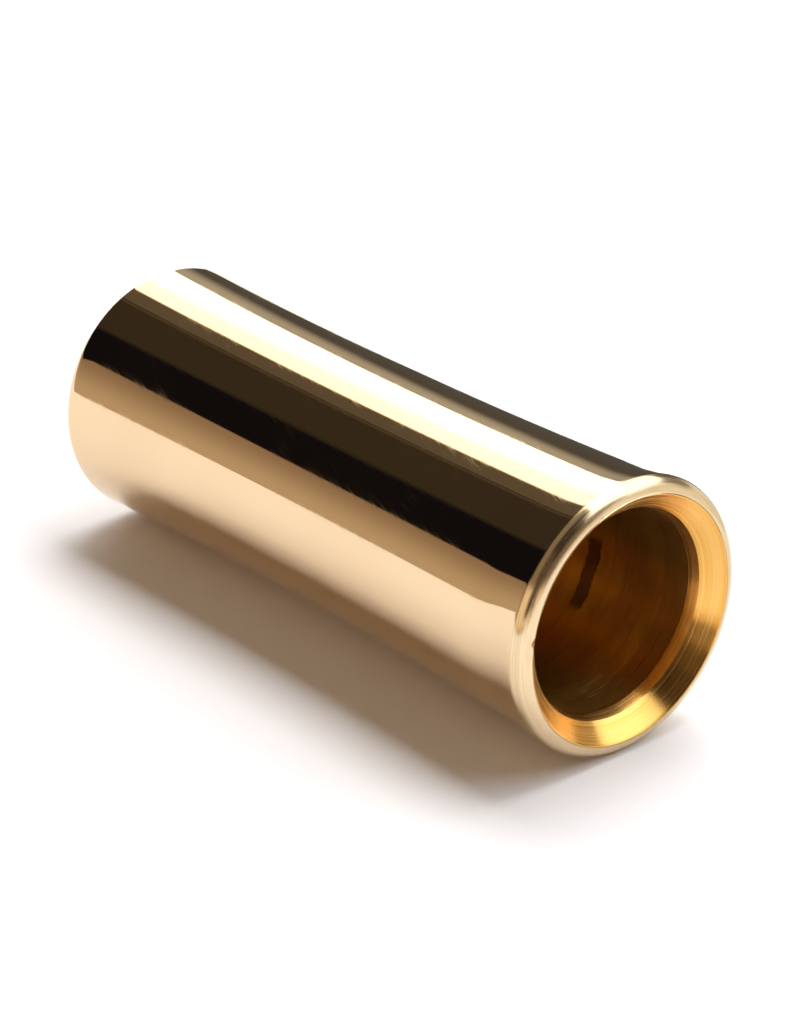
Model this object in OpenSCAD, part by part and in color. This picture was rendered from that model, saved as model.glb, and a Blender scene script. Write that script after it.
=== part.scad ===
// Guitar slide turned from one bar of brass.
// It lies along Y with its mouth towards -Y and +Z up.
// The origin is on its axis, halfway along its length.

/* [Barrel] */
// Overall length
length = 65; // [50:0.5:80]
// Outer diameter at the waist, the thinnest place
waist_d = 23.2; // [22.2:0.1:23.8]
// Distance from the mouth to the waist
waist_y = 37.5; // [28:0.5:45]
// Radius of the long hollow curve along the barrel
waist_arc_r = 690; // [500:10:1200]

/* [Lip] */
// Outer diameter of the rounded lip at the mouth
lip_d = 25.8; // [25.4:0.1:28]
// Radius of the lip's round edge
bead_r = 1.35; // [1.1:0.05:1.5]
// Radius of the hollow flare from the barrel to the lip
fillet_r = 25; // [10:1:40]

/* [Far end] */
// Radius of the rounded outer edge
end_r = 1.7; // [0.6:0.1:2.3]
// Width of the broken inner edge
end_break = 0.2; // [0.1:0.05:0.3]

/* [Bore] */
// Diameter of the finger bore
bore_d = 19; // [17.5:0.1:19.2]
// Diameter across the open edge of the countersink
countersink_d = 23; // [22.4:0.1:23.1]
// Diameter where the countersink meets the lead-in
lead_d = 19.6; // [19.3:0.1:20.4]
// Length of the steeper lead-in between the countersink and the bore
lead_len = 1; // [0.5:0.1:2]

/* [Hidden] */

// Facets round the axis, the largest step along a curve of the profile, and steps along its long curves
round_fn = 180;
arc_step = 8;
waist_steps = 24;
flare_steps = 6;
// How far a cutter passes through the face that it opens
overcut = 1;

// The profile is drawn as [radius, distance from the mouth].
bead_centre = [lip_d / 2 - bead_r, bead_r];
waist_centre = [waist_d / 2 + waist_arc_r, waist_y];

// The fillet touches the bead from outside and the waist curve from inside.
bead_gap = bead_r + fillet_r;
to_waist = waist_centre - bead_centre;
fillet_turn = acos((bead_gap ^ 2 + norm(to_waist) ^ 2 - (waist_arc_r - fillet_r) ^ 2)
                   / (2 * bead_gap * norm(to_waist)));
fillet_dir = atan2(to_waist[1], to_waist[0]) + fillet_turn;
fillet_centre = bead_centre + bead_gap * [cos(fillet_dir), sin(fillet_dir)];
from_waist = fillet_centre - waist_centre;
barrel_start = atan2(from_waist[1], from_waist[0]);

// The far edge touches the waist curve from outside and the end face.
end_tilt = asin((length - end_r - waist_y) / (waist_arc_r + end_r));
end_centre = [waist_centre[0] - (waist_arc_r + end_r) * cos(end_tilt), length - end_r];

// The countersink's wall stands at 45 degrees.
countersink_depth = (countersink_d - lead_d) / 2;

// Points of an arc, about arc_step degrees apart, or in a stated number of steps
function arc(centre, r, from, to, steps = 0) =
    let (n = steps > 0 ? steps : ceil(abs(to - from) / arc_step))
    [for (i = [0 : n]) centre + r * [cos(from + (to - from) * i / n), sin(from + (to - from) * i / n)]];

module slide_profile()
    polygon(concat(
        [[0, 0]],
        arc(bead_centre, bead_r, -90, 0),
        arc(bead_centre, bead_r, 0, fillet_dir),
        arc(fillet_centre, fillet_r, fillet_dir + 180, barrel_start + 360, flare_steps),
        arc(waist_centre, waist_arc_r, barrel_start + 360, 180 - end_tilt, waist_steps),
        arc(end_centre, end_r, -end_tilt, 90),
        [[0, length]]));

// Cone frustum between two distances from the mouth
module cone_cut(from, to, d_from, d_to)
    translate([0, 0, from]) cylinder(h = to - from, d1 = d_from, d2 = d_to, $fn = round_fn);

module finger_bore() {
    lead_end = countersink_depth + lead_len;
    cone_cut(-overcut, countersink_depth, countersink_d + 2 * overcut, lead_d);
    cone_cut(countersink_depth, lead_end, lead_d, bore_d);
    translate([0, 0, lead_end - overcut])
        cylinder(h = length - lead_end + 2 * overcut, d = bore_d, $fn = round_fn);
    cone_cut(length - end_break, length + overcut, bore_d, bore_d + 2 * (end_break + overcut));
}

module slide_body()
    color("goldenrod")
    translate([0, -length / 2, 0])
    rotate([-90, 0, 0])
    difference() {
        rotate_extrude($fn = round_fn) slide_profile();
        finger_bore();
    }

slide_body();
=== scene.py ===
"""The look of a guitar slide turned from one bar of brass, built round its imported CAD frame.

Lengths are in millimetres, angles in degrees, and both are turned into Blender's units where they are used.
The slide lies along Y with its mouth towards -Y, and the origin is on its axis, halfway along.
"""
import math

import bpy
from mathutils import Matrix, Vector


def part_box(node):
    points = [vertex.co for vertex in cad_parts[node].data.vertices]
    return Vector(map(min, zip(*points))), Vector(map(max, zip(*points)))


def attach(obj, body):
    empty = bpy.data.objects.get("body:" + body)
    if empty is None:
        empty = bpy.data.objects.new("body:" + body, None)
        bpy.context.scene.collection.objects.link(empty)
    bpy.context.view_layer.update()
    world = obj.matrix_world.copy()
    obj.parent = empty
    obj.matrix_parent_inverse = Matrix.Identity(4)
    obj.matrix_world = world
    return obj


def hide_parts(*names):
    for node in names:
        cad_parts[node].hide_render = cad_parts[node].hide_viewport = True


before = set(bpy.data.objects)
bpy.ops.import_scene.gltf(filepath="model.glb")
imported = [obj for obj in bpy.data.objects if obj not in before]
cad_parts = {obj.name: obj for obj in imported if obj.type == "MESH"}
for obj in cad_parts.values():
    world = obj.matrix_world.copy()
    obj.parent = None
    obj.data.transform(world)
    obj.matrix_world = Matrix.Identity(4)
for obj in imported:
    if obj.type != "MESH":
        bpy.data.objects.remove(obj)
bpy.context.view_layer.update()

MM = 0.001
NODE = "slide_body"

# The outer size comes from the frame.
low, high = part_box(NODE)
LENGTH = (high.y - low.y) / MM
LIP_R = (high.z - low.z) / 2 / MM

# Barrel: the thinnest place, and the long hollow curve through it
WAIST_R = 11.6
WAIST_DEPTH = 37.5
WAIST_ARC_R = 690
# Round lip, the hollow behind it and the rounded far edge
BEAD_R = 1.35
FILLET_R = 25
END_R = 1.7
# Bore, with its countersink, its lead-in and its first, smoother stretch
BORE_R = 9.5
COUNTERSINK_R = 11.5
LEAD_R = 9.8
LEAD_LENGTH = 1.0
LEAD_LAND = 0.15
FIRST_STRETCH = 5.6
STRETCH_STEP = 0.03
END_BREAK = 0.2
# Radii of the broken edges
MOUTH_EDGE_R = 0.12
INNER_EDGE_R = 0.06

# Facets round the axis, and the longest steps along the profile
FACETS = 384
ARC_STEP = 5
WAIST_STEP = 1.2
BORE_STEP = 1.5

# A dent on the inner edge of the lip and a pit in its front, the pit only painted shade: where they are
# round the axis, and their size
DENT_ANGLE = 171
DENT_WIDTH = 0.3
DENT_DEPTH = 0.16
PIT_ANGLE = 109
PIT_RADIUS = 11.7
PIT_WIDTH = 0.1

# How much a change of radius counts against one of depth, so that rings show on flat and slanting faces
RADIUS_SHARE = 0.35

# The camera looks at AIM from the mouth's side, above the slide and to its left.
AIM = (-12.18, -16.36, 8.38)
CAMERA_AZIMUTH = -41.13
CAMERA_ELEVATION = 26.30
CAMERA_DISTANCE = 345
LENS = 142.13
CLIP_START, CLIP_END = 1, 9000

# Surfaces of the slide, in the order of their material slots
POLISHED, LIP, TURNED, BORED = range(4)
# The lip's less polished round ends this far round its bead, from the outermost line.
LIP_END = 5


# ---- Profile: points are (radius, depth from the mouth) ----

def polar(centre, radius, angle):
    """The point at an angle round centre, from +radius towards +depth."""
    a = math.radians(angle)
    return centre[0] + radius * math.cos(a), centre[1] + radius * math.sin(a)


def arc(centre, radius, start, end, step=ARC_STEP):
    """Points along an arc, both ends included."""
    count = max(1, math.ceil(abs(end - start) / step))
    return [polar(centre, radius, start + (end - start) * i / count) for i in range(count + 1)]


def line(start, end, step):
    """Points along a straight line, its start left out."""
    count = max(1, math.ceil(math.dist(start, end) / step))
    return [
        (start[0] + (end[0] - start[0]) * i / count, start[1] + (end[1] - start[1]) * i / count)
        for i in range(1, count + 1)
    ]


def direction(start, end):
    """The angle of the line from start to end."""
    return math.degrees(math.atan2(end[1] - start[1], end[0] - start[0]))


def outer_profile():
    """From the front of the lip, over the barrel, to the flat of the far end."""
    bead = (LIP_R - BEAD_R, BEAD_R)
    waist = (WAIST_R + WAIST_ARC_R, WAIST_DEPTH)
    # The fillet touches the bead from outside and the waist curve from inside.
    gap, reach = BEAD_R + FILLET_R, math.dist(bead, waist)
    cosine = (gap ** 2 + reach ** 2 - (WAIST_ARC_R - FILLET_R) ** 2) / (2 * gap * reach)
    turn = direction(bead, waist) + math.degrees(math.acos(cosine))
    fillet = polar(bead, gap, turn)
    barrel_start = direction(waist, fillet) % 360
    # The far edge touches the waist curve from outside and the end face.
    tilt = math.degrees(math.asin((LENGTH - END_R - WAIST_DEPTH) / (WAIST_ARC_R + END_R)))
    end = (waist[0] - (WAIST_ARC_R + END_R) * math.cos(math.radians(tilt)), LENGTH - END_R)
    waist_step = math.degrees(WAIST_STEP / WAIST_ARC_R)
    return (
        arc(bead, BEAD_R, -90, turn)
        + arc(fillet, FILLET_R, turn + 180, barrel_start)[1:]
        + arc(waist, WAIST_ARC_R, barrel_start, 180 - tilt, waist_step)[1:]
        + arc(end, END_R, -tilt, 90)[1:]
    )


def rounded(corners, step):
    """A line through (radius, depth, edge radius) corners, each corner but the ends rounded."""
    points = [corners[0][:2]]
    for before, corner, after in zip(corners, corners[1:], corners[2:]):
        into, out = direction(before, corner), direction(corner, after)
        bend = (out - into + 180) % 360 - 180
        side = math.copysign(90, bend)
        cut = corner[2] * math.tan(math.radians(abs(bend) / 2))
        start = polar(corner, -cut, into)
        centre = polar(start, corner[2], into + side)
        points += line(points[-1], start, step)
        points += arc(centre, corner[2], into - side, into - side + bend, ARC_STEP * 3)[1:]
    return points + line(points[-1], corners[-1][:2], step)


def inner_profile(end_face_r):
    """From the far end's flat, through the bore, to the front of the lip. Gives two stretches."""
    countersink_depth = COUNTERSINK_R - LEAD_R
    lead_end = countersink_depth + LEAD_LENGTH
    deep_r = BORE_R + STRETCH_STEP
    # The lead-in's finish reaches a little way into the bore.
    land = (BORE_R, lead_end + LEAD_LAND)
    bore = rounded([
        (end_face_r, LENGTH, 0),
        (deep_r + END_BREAK, LENGTH, INNER_EDGE_R),
        (deep_r, LENGTH - END_BREAK, INNER_EDGE_R),
        (deep_r, FIRST_STRETCH + STRETCH_STEP, INNER_EDGE_R),
        (BORE_R, FIRST_STRETCH, INNER_EDGE_R),
        (*land, 0),
    ], BORE_STEP)[1:]
    front = rounded([
        (*land, 0),
        (BORE_R, lead_end, INNER_EDGE_R),
        (LEAD_R, countersink_depth, INNER_EDGE_R),
        (COUNTERSINK_R, 0, MOUTH_EDGE_R),
        (LIP_R - BEAD_R, 0, 0),
    ], BORE_STEP / 4)[1:-1]
    return bore, front


def dent(radius, depth, angle):
    """How far the dent in the lip's inner edge presses a point back."""
    away = math.radians((angle - DENT_ANGLE + 180) % 360 - 180) * radius
    distance = math.hypot(away, radius - COUNTERSINK_R, depth)
    return DENT_DEPTH * math.exp(-(distance / DENT_WIDTH) ** 2)


def build_slide():
    """One closed mesh, the profile turned round the axis, with its four surfaces told apart."""
    outer = outer_profile()
    bore, front = inner_profile(outer[-1][0])
    profile = outer + bore + front
    lip = math.ceil((90 + LIP_END) / ARC_STEP)
    surface = [LIP] * lip + [POLISHED] * (len(outer) - lip) + [BORED] * (len(bore) - 1)
    surface += [TURNED] * (len(profile) - len(surface))
    vertices = []
    for radius, depth in profile:
        for i in range(FACETS):
            angle = 360 * i / FACETS
            back = dent(radius, depth, angle)
            a = math.radians(angle)
            point = (radius * math.cos(a), depth + back - LENGTH / 2, radius * math.sin(a))
            vertices.append(Vector(point) * MM)
    faces, materials = [], []
    for ring in range(len(profile)):
        this, following = ring * FACETS, (ring + 1) % len(profile) * FACETS
        for i in range(FACETS):
            j = (i + 1) % FACETS
            faces.append((this + i, following + i, following + j, this + j))
            materials.append(surface[ring])
    mesh = bpy.data.meshes.new("turned_brass")
    mesh.from_pydata(vertices, [], faces)
    mesh.polygons.foreach_set("material_index", materials)
    mesh.shade_smooth()
    for make in (polished_brass, lip_brass, turned_brass, bored_brass):
        mesh.materials.append(make())
    piece = bpy.data.objects.new("turned_brass_slide", mesh)
    bpy.context.scene.collection.objects.link(piece)
    return piece


# ---- Node trees ----

class Nodes:
    """Short calls for the nodes of one tree. A value is a number, a colour or another node's socket."""

    def __init__(self, tree):
        self.tree = tree

    def add(self, kind, inputs=(), **settings):
        """A new node with its inputs and settings given by name."""
        node = self.tree.nodes.new(kind)
        for name, value in settings.items():
            setattr(node, name, value)
        for name, value in dict(inputs).items():
            self.put(value, node.inputs[name])
        return node

    def put(self, value, socket):
        """Links a socket's value to an input, or sets a plain one."""
        if isinstance(value, bpy.types.NodeSocket):
            self.tree.links.new(value, socket)
        elif socket.type == "RGBA":
            socket.default_value = (*value, 1)
        else:
            socket.default_value = value

    def math(self, operation, *values):
        node = self.add("ShaderNodeMath", operation=operation)
        for value, socket in zip(values, node.inputs):
            self.put(value, socket)
        return node.outputs[0]

    def smooth(self, value, start, end, low=0.0, high=1.0):
        """Rises smoothly from low at start to high at end."""
        node = self.add("ShaderNodeMapRange", interpolation_type="SMOOTHSTEP", inputs={
            "Value": value, "From Min": start, "From Max": end, "To Min": low, "To Max": high,
        })
        return node.outputs["Result"]

    def band(self, value, start, end, soft):
        """One between start and end, with soft edges."""
        rise = self.smooth(value, start - soft, start + soft)
        fall = self.smooth(value, end - soft, end + soft, 1.0, 0.0)
        return self.math("MULTIPLY", rise, fall)

    def mix(self, share, first, second):
        """The first colour where share is zero, the second where it is one."""
        node = self.add("ShaderNodeMix", data_type="RGBA")
        colours = [s for s in node.inputs if s.type == "RGBA"]
        self.put(share, node.inputs[0])
        self.put(first, colours[0])
        self.put(second, colours[1])
        return next(s for s in node.outputs if s.type == "RGBA")

    def noise(self, vector, scale, detail=3.0, roughness=0.5):
        """Noise from zero to one, with scale waves to each unit of the vector."""
        node = self.add("ShaderNodeTexNoise", inputs={
            "Vector": vector, "Scale": scale, "Detail": detail, "Roughness": roughness,
        })
        return node.outputs["Fac"]

    def vector(self, x, y, z):
        return self.add("ShaderNodeCombineXYZ", inputs={"X": x, "Y": y, "Z": z}).outputs[0]

    def parts(self, vector):
        return self.add("ShaderNodeSeparateXYZ", inputs={"Vector": vector}).outputs


def turned_coordinates(nodes):
    """Angle round the axis, depth from the mouth and radius, as sockets, lengths in millimetres."""
    x, y, z = nodes.parts(nodes.add("ShaderNodeTexCoord").outputs["Object"])
    angle = nodes.math("ARCTAN2", z, x)
    depth = nodes.math("MULTIPLY_ADD", y, 1 / MM, LENGTH / 2)
    square = nodes.math("ADD", nodes.math("MULTIPLY", x, x), nodes.math("MULTIPLY", z, z))
    radius = nodes.math("DIVIDE", nodes.math("SQRT", square), MM)
    return angle, depth, radius


# A quarter of a whole turn, from along the marks to across them
ANISOTROPIC_TURN = 0.25


def brass(name, anisotropic):
    """A brass material, its nodes and its shader. Its highlights stretch across marks round the axis."""
    material = bpy.data.materials.new(name)
    material.use_nodes = True
    nodes = Nodes(material.node_tree)
    shader = material.node_tree.nodes["Principled BSDF"]
    shader.inputs["Metallic"].default_value = 1
    shader.inputs["Anisotropic"].default_value = anisotropic
    shader.inputs["Anisotropic Rotation"].default_value = ANISOTROPIC_TURN
    tangent = nodes.add("ShaderNodeTangent", direction_type="RADIAL", axis="Y")
    nodes.put(tangent.outputs[0], shader.inputs["Tangent"])
    return material, nodes, shader


def round_and_along(nodes, around):
    """A place that follows the surface, for marks round the axis. A smaller around makes them longer."""
    angle, depth, radius = turned_coordinates(nodes)
    return nodes.vector(
        nodes.math("MULTIPLY", nodes.math("COSINE", angle), around),
        nodes.math("MULTIPLY_ADD", radius, -RADIUS_SHARE, depth),
        nodes.math("MULTIPLY", nodes.math("SINE", angle), around),
    )


def finish(nodes, shader, colour, roughness, height, relief):
    """Joins a colour, a roughness and a height to the shader. Relief is how far the height stands out."""
    bump = nodes.add("ShaderNodeBump", inputs={"Strength": 1.0, "Distance": relief * MM, "Height": height})
    nodes.put(colour, shader.inputs["Base Color"])
    nodes.put(roughness, shader.inputs["Roughness"])
    nodes.put(bump.outputs["Normal"], shader.inputs["Normal"])


# A speck and a spot are whole within this share of their size, and fade from there to their rims.
SPECK_CORE = 0.5
SPOT_CORE = 0.4


def specks(nodes, cell, size, share):
    """One inside small round specks, in the given share of cells. Cell and size are in millimetres."""
    place = nodes.add("ShaderNodeTexCoord").outputs["Object"]
    grid = nodes.add("ShaderNodeTexVoronoi", inputs={"Vector": place, "Scale": 1 / (cell * MM)})
    chance = nodes.parts(grid.outputs["Color"])[0]
    round_spot = nodes.smooth(grid.outputs["Distance"], size / cell, SPECK_CORE * size / cell)
    return nodes.math("MULTIPLY", round_spot, nodes.math("LESS_THAN", chance, share))


# Each brass varies between a deeper and a paler colour.
POLISHED_DEEP, POLISHED_PALE = (0.74, 0.55, 0.335), (0.80, 0.61, 0.385)
# The dust's colour and the roughness that it adds
DUST_COLOUR = (0.95, 0.88, 0.78)
DUST_ROUGHNESS = 0.26
# The hair scratches: how far round they run for each millimetre along, how much finer they are across
# than along, and their share of the dust's roughness
HAIR_SLANT = 0.36
HAIR_FINENESS = 26.0
HAIR_STRENGTH = 0.5


def hair_scratches(nodes):
    """One on long, thin strokes at a slant to the axis, in patches."""
    angle, depth, _ = turned_coordinates(nodes)
    slant = nodes.math("MULTIPLY_ADD", depth, HAIR_SLANT, nodes.math("MULTIPLY", angle, LIP_R))
    across = nodes.math("MULTIPLY", slant, HAIR_FINENESS)
    stroke = nodes.noise(nodes.vector(across, depth, 0.0), scale=0.3)
    worn = nodes.noise(round_and_along(nodes, 8.0), scale=0.13, detail=2.0)
    return nodes.math("MULTIPLY", nodes.smooth(stroke, 0.42, 0.72), nodes.smooth(worn, 0.38, 0.58))


def polished_brass():
    """The outside: mirror bright, with faint polishing lines, a few hair scratches and dust."""
    material, nodes, shader = brass("polished_brass", anisotropic=0)
    lines = nodes.noise(round_and_along(nodes, 0.6), scale=6.0, detail=4.0, roughness=0.65)
    cloud = nodes.noise(round_and_along(nodes, 8.0), scale=0.09, detail=2.0)
    dust = specks(nodes, cell=2.2, size=0.07, share=0.25)
    hairs = nodes.math("MULTIPLY", hair_scratches(nodes), HAIR_STRENGTH)
    marks = nodes.math("MAXIMUM", hairs, dust)
    roughness = nodes.smooth(lines, 0.3, 0.75, low=0.02, high=0.05)
    roughness = nodes.math("MULTIPLY_ADD", marks, DUST_ROUGHNESS, roughness)
    colour = nodes.mix(dust, nodes.mix(cloud, POLISHED_DEEP, POLISHED_PALE), DUST_COLOUR)
    finish(nodes, shader, colour, roughness, height=lines, relief=0.0003)
    return material


def spot(nodes, spot_angle, spot_radius, width):
    """One on a small spot of the lip's front, falling to zero at its rim."""
    angle, _, radius = turned_coordinates(nodes)
    turn = nodes.math("SUBTRACT", angle, math.radians(spot_angle))
    away = nodes.math("MULTIPLY", turn, spot_radius)
    across = nodes.math("SUBTRACT", radius, spot_radius)
    square = nodes.math("ADD", nodes.math("MULTIPLY", away, away), nodes.math("MULTIPLY", across, across))
    return nodes.smooth(nodes.math("SQRT", square), width, SPOT_CORE * width)


LIP_DEEP, LIP_PALE = (0.66, 0.51, 0.30), (0.86, 0.67, 0.43)
# The darker colour round the dent, and the near-black painted shade of the pit
DENT_DARKENING_COLOUR = (0.42, 0.2, 0.06)
DENT_DARKENING_STRENGTH = 0.8
DENT_DARKENING_WIDTH = 1.5 * DENT_WIDTH
PIT_SHADE_COLOUR = (0.06, 0.04, 0.03)


def lip_brass():
    """The round of the lip: polished less, with fine rings, darker colour round the dent and a pit of
    painted shade.
    """
    material, nodes, shader = brass("lip_brass", anisotropic=0.8)
    rings = nodes.noise(round_and_along(nodes, 0.12), scale=4.0, detail=5.0, roughness=0.7)
    # Darker colour in and round the dent
    dent_darkening = nodes.math("MULTIPLY", spot(nodes, DENT_ANGLE, COUNTERSINK_R, DENT_DARKENING_WIDTH), DENT_DARKENING_STRENGTH)
    # The pit is a near-black spot of painted shade; the mesh has no pit there
    pit_shade = spot(nodes, PIT_ANGLE, PIT_RADIUS, PIT_WIDTH)
    colour = nodes.mix(nodes.smooth(rings, 0.35, 0.65), LIP_DEEP, LIP_PALE)
    colour = nodes.mix(pit_shade, nodes.mix(dent_darkening, colour, DENT_DARKENING_COLOUR), PIT_SHADE_COLOUR)
    roughness = nodes.smooth(rings, 0.3, 0.7, low=0.12, high=0.28)
    finish(nodes, shader, colour, roughness, height=rings, relief=0.005)
    return material


TURNED_DEEP, TURNED_PALE = (0.76, 0.39, 0.07), (0.93, 0.57, 0.19)


def turned_brass():
    """The countersink and lead-in: a warmer bare metal with fine rings from the lathe."""
    material, nodes, shader = brass("turned_brass", anisotropic=0.9)
    rings = nodes.noise(round_and_along(nodes, 0.06), scale=3.2, detail=5.0, roughness=0.75)
    colour = nodes.mix(nodes.smooth(rings, 0.3, 0.7), TURNED_DEEP, TURNED_PALE)
    roughness = nodes.smooth(rings, 0.3, 0.7, low=0.17, high=0.30)
    finish(nodes, shader, colour, roughness, height=rings, relief=0.003)
    return material


def patch(nodes, angle, depth, angles, depths, softness):
    """One inside a patch between two angles and two depths, in degrees and millimetres."""
    degrees = nodes.math("DEGREES", angle)
    around = nodes.band(degrees, *angles, softness[0])
    return nodes.math("MULTIPLY", around, nodes.band(depth, *depths, softness[1]))


BORED_DEEP, BORED_PALE = (0.46, 0.23, 0.035), (0.62, 0.34, 0.05)
RING_COLOUR = (0.66, 0.39, 0.08)
# The first stretch's tint: its colour, its share, and how far it fades on either side of the step
STRETCH_COLOUR = (0.38, 0.16, 0.04)
STRETCH_TINT = 0.45
STRETCH_FADE = 0.1
# The dark arc of painted shade in the bore: its colour, its share, and how far its edges stray along the
# bore
ARC_SHADE_COLOUR = (0.14, 0.06, 0.03)
ARC_SHADE_STRENGTH = 0.9
ARC_SHADE_RAGGEDNESS = 1.6
SCRATCH_COLOUR = (1.0, 0.86, 0.55)
# A film on the bore scatters a little light.
BORED_METALLIC = 0.92


def painted_shade_arc(nodes):
    """One on the dark arc of painted shade in the bore, whose edges are ragged."""
    angle, depth, _ = turned_coordinates(nodes)
    ragged = nodes.noise(round_and_along(nodes, 4.0), scale=1.2, detail=4.0, roughness=0.7)
    place = nodes.math("MULTIPLY_ADD", ragged, ARC_SHADE_RAGGEDNESS, depth)
    return patch(nodes, angle, place, angles=(-44, -4), depths=(14.4, 15.9), softness=(3, 0.15))


def bore_scratches(nodes):
    """One on a few bright scratches near the mouth."""
    angle, depth, _ = turned_coordinates(nodes)
    place = patch(nodes, angle, depth, angles=(-90, -70), depths=(4.6, 7.2), softness=(4, 0.4))
    hairs = nodes.noise(round_and_along(nodes, 0.6), scale=6.0, roughness=0.6)
    return nodes.math("MULTIPLY", place, nodes.smooth(hairs, 0.55, 0.68))


def bored_brass():
    """The bore: duller and browner, with tool rings, a dark arc of painted shade and a few bright
    scratches.
    """
    material, nodes, shader = brass("bored_brass", anisotropic=0.8)
    shader.inputs["Metallic"].default_value = BORED_METALLIC
    _, depth, _ = turned_coordinates(nodes)
    rings = nodes.noise(round_and_along(nodes, 0.03), scale=6.0, detail=4.0, roughness=0.6)
    stains = nodes.noise(round_and_along(nodes, 5.0), scale=0.25, detail=4.0)
    colour = nodes.mix(nodes.smooth(stains, 0.35, 0.65), BORED_DEEP, BORED_PALE)
    colour = nodes.mix(nodes.smooth(rings, 0.35, 0.75, low=0.0, high=0.35), colour, RING_COLOUR)
    edge = FIRST_STRETCH - STRETCH_FADE, FIRST_STRETCH + STRETCH_FADE
    near = nodes.smooth(depth, *edge, low=STRETCH_TINT, high=0.0)
    colour = nodes.mix(near, colour, STRETCH_COLOUR)
    # A dark ragged arc of painted shade deep in the bore
    colour = nodes.mix(nodes.math("MULTIPLY", painted_shade_arc(nodes), ARC_SHADE_STRENGTH), colour, ARC_SHADE_COLOUR)
    colour = nodes.mix(bore_scratches(nodes), colour, SCRATCH_COLOUR)
    roughness = nodes.smooth(rings, 0.3, 0.7, low=0.27, high=0.33)
    finish(nodes, shader, colour, roughness, height=rings, relief=0.00015)
    return material


# ---- Studio ----

# What stands round the slide, each thing painted over those before it. A place is an angle round the
# slide's axis, from +X over the top, and a tilt out of the middle plane towards the far end.
# Each has its two ranges, the softness of its edges, and the colour and strength of its light.
# The edges of the "back" things bow, so that the flared barrel shows them as straight lines.
# The left wall's two lights are given below.
PANELS = {
    "front_right": ((-90, 26), (-90, 27), 2, (0.95, 0.90, 0.80)),
    "right_card": ((5, 26), (-18, 27), 2, (0.22, 0.20, 0.16)),
    "front_ceiling": ((84, 153), (-4, 30), 5, (0.32, 0.25, 0.17)),
    "back_right": ((-90, 22), (27, 90), 8, (0.092, 0.084, 0.072)),
    "back_horizon": ((-90, 40), (50, 90), 2, (1.1, 1.1, 1.1)),
    "back_glow": ((22, 44), (27, 52), 8, (0.48, 0.47, 0.41)),
    "front_scrim": ((26, 84), (-46, 30), 1.0, (2.1, 2.2, 2.3)),
    "back_softbox": ((35, 76), (24, 90), 0.8, (2.9, 2.9, 2.9)),
    "back_softbox_rim": ((59, 86), (24, 90), 5, (2.3, 2.15, 1.95)),
    "key_softbox": ((60, 84), (-12, 24), 1.5, (8.2, 8.2, 8.2)),
    "back_edge": ((76, 100), (30, 90), 1.2, (0.13, 0.105, 0.074)),
    "back_ceiling": ((91, 135), (30, 90), 2.5, (0.046, 0.035, 0.024)),
    "back_seam": ((89.4, 90.2), (30, 90), 0.3, (0.025, 0.018, 0.012)),
    "back_flag": ((124, 160), (30, 90), 2.5, (0.007, 0.0065, 0.008)),
    "left_wall": ((0, 270), (-90, 90), 0.6, None),
    "front_left": ((154, 183), (-75, 33), 3, (1.1, 0.88, 0.64)),
    "left_flag": ((110, 176), (-58, -14), 3, (0.07, 0.048, 0.03)),
    "front_flag": ((86, 125), (-58, -6), 3, (0.02, 0.014, 0.011)),
}
DIM_ROOM = (0.20, 0.14, 0.09)
# The left wall's top edge leans: two tilts, and the edge's angle before and after them.
WALL_TILTS = 36, 50
WALL_TOPS = 149.5, 156
# The wall grows brighter between these angles.
WALL_SHADE = 153, 183
WALL_TOP_LIGHT = (0.33, 0.23, 0.155)
WALL_FOOT_LIGHT = (0.60, 0.47, 0.33)
CAMERA_BACKGROUND = (1.0, 1.0, 1.0)
# The size of the map that Cycles samples the world's light from
LIGHT_MAP_SIZE = 1024


def view_direction():
    """Points from the slide to the camera."""
    a, e = math.radians(CAMERA_AZIMUTH), math.radians(CAMERA_ELEVATION)
    return Vector((math.sin(a) * math.cos(e), -math.cos(a) * math.cos(e), math.sin(e)))


def room():
    """The world: the studio that reflections and diffuse light see, and plain white for the camera."""
    world = bpy.data.worlds.new("studio_room")
    bpy.context.scene.world = world
    world.use_nodes = True
    nodes = Nodes(world.node_tree)
    output = world.node_tree.nodes["World Output"]
    x, y, z = nodes.parts(nodes.add("ShaderNodeTexCoord").outputs["Generated"])
    angle = nodes.math("DEGREES", nodes.math("ARCTAN2", z, x))
    # The angle jumps at 180, on the left horizon, so it is moved to jump straight below.
    angle = nodes.math("WRAP", angle, 270.0, -90.0)
    tilt = nodes.math("DEGREES", nodes.math("ARCSINE", y))
    # The angle round the slide where the photograph's camera sees this direction
    view = view_direction()
    halfway = nodes.math("ARCTAN2", nodes.math("ADD", z, view.z), nodes.math("ADD", x, view.x))
    # The direction that a straight barrel would show there
    bowed = nodes.math("MULTIPLY_ADD", halfway, math.degrees(2), -math.degrees(math.atan2(view.z, view.x)))
    colour = DIM_ROOM
    for name, (around, along, soft, light) in PANELS.items():
        place = bowed if name.startswith("back") else angle
        if name == "left_wall":
            light = nodes.mix(nodes.smooth(angle, *WALL_SHADE), WALL_TOP_LIGHT, WALL_FOOT_LIGHT)
            place = nodes.math("SUBTRACT", angle, nodes.smooth(tilt, *WALL_TILTS, *WALL_TOPS))
        place = nodes.band(place, *around, soft)
        share = nodes.math("MULTIPLY", place, nodes.band(tilt, *along, soft))
        colour = nodes.mix(share, colour, light)
    light_path = nodes.add("ShaderNodeLightPath")
    colour = nodes.mix(light_path.outputs["Is Camera Ray"], colour, CAMERA_BACKGROUND)
    background = nodes.add("ShaderNodeBackground", inputs={"Color": colour, "Strength": 1.0})
    nodes.put(background.outputs[0], output.inputs["Surface"])
    world.cycles.sampling_method = "MANUAL"
    world.cycles.sample_map_resolution = LIGHT_MAP_SIZE


# The sheet that the slide lies on: its sides, its reach along the slide, and where the far end touches it
SHEET_LEFT, SHEET_RIGHT = -150, 64
SHEET_REACH = 900
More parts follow.
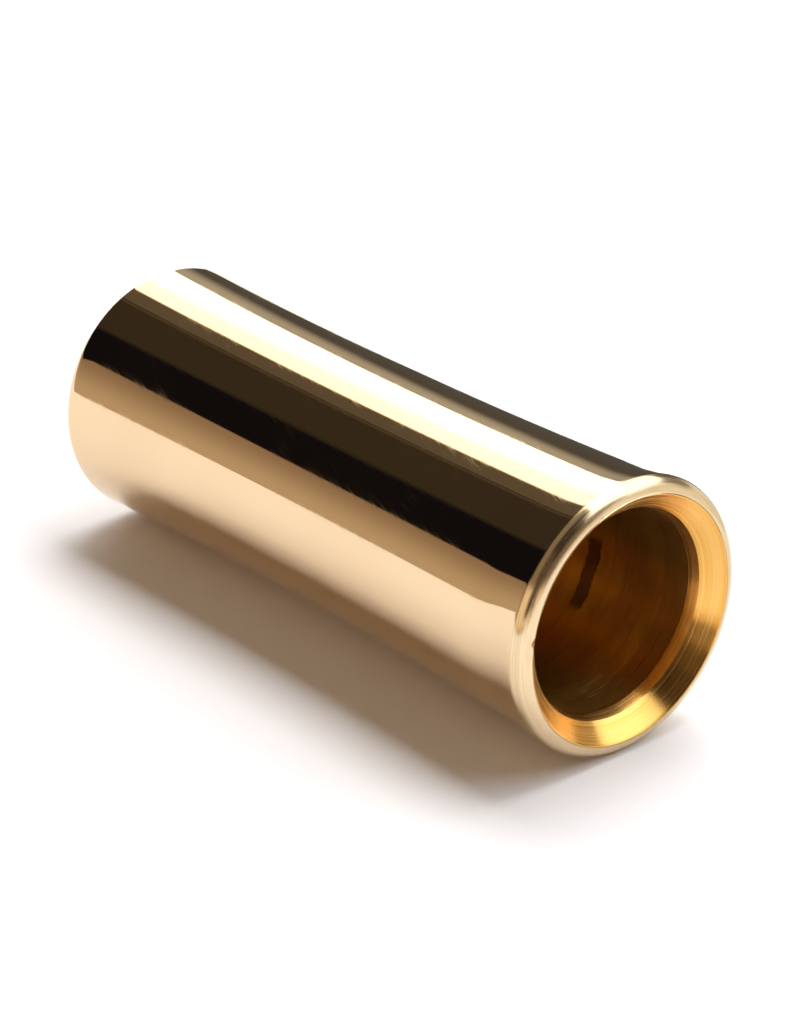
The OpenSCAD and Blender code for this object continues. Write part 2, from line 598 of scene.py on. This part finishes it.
# Behind this place the right side of the sheet runs outwards.
SHEET_BEND, SHEET_SPREAD = 60, 0.75
FAR_CONTACT_R = 12.08
FAR_CONTACT_Y = 30.8
SHEET_COLOUR = (0.95, 0.935, 0.955, 1)
SHEET_ROUGHNESS = 0.9


def floor():
    """A pale sheet that touches the lip and the far edge, so it tilts by less than a degree."""
    lip_y = BEAD_R - LENGTH / 2
    slope = (LIP_R - FAR_CONTACT_R) / (FAR_CONTACT_Y - lip_y)
    corners = [
        Vector((x, y, -LIP_R + (y - lip_y) * slope)) * MM
        for x, y in (
            (SHEET_LEFT, -SHEET_REACH), (SHEET_RIGHT, -SHEET_REACH), (SHEET_RIGHT, SHEET_BEND),
            (SHEET_RIGHT + SHEET_SPREAD * (SHEET_REACH - SHEET_BEND), SHEET_REACH),
            (SHEET_LEFT, SHEET_REACH),
        )
    ]
    mesh = bpy.data.meshes.new("floor")
    mesh.from_pydata(corners, [], [range(len(corners))])
    sheet = bpy.data.objects.new("floor", mesh)
    bpy.context.scene.collection.objects.link(sheet)
    material = bpy.data.materials.new("white_sheet")
    material.use_nodes = True
    shader = material.node_tree.nodes["Principled BSDF"]
    shader.inputs["Base Color"].default_value = SHEET_COLOUR
    shader.inputs["Roughness"].default_value = SHEET_ROUGHNESS
    shader.inputs["Specular IOR Level"].default_value = 0.0
    mesh.materials.append(material)


def camera():
    """Stands CAMERA_DISTANCE from AIM, level from side to side."""
    back = view_direction()
    data = bpy.data.cameras.new("camera")
    data.lens = LENS
    data.clip_start = CLIP_START * MM
    data.clip_end = CLIP_END * MM
    eye = bpy.data.objects.new("camera", data)
    eye.location = (Vector(AIM) + back * CAMERA_DISTANCE) * MM
    eye.rotation_mode = "QUATERNION"
    eye.rotation_quaternion = (-back).to_track_quat("-Z", "Y")
    bpy.context.scene.collection.objects.link(eye)
    bpy.context.scene.camera = eye


bpy.context.scene.view_settings.view_transform = "Standard"
camera()
floor()
room()
slide = build_slide()
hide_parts(NODE)
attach(slide, "root")
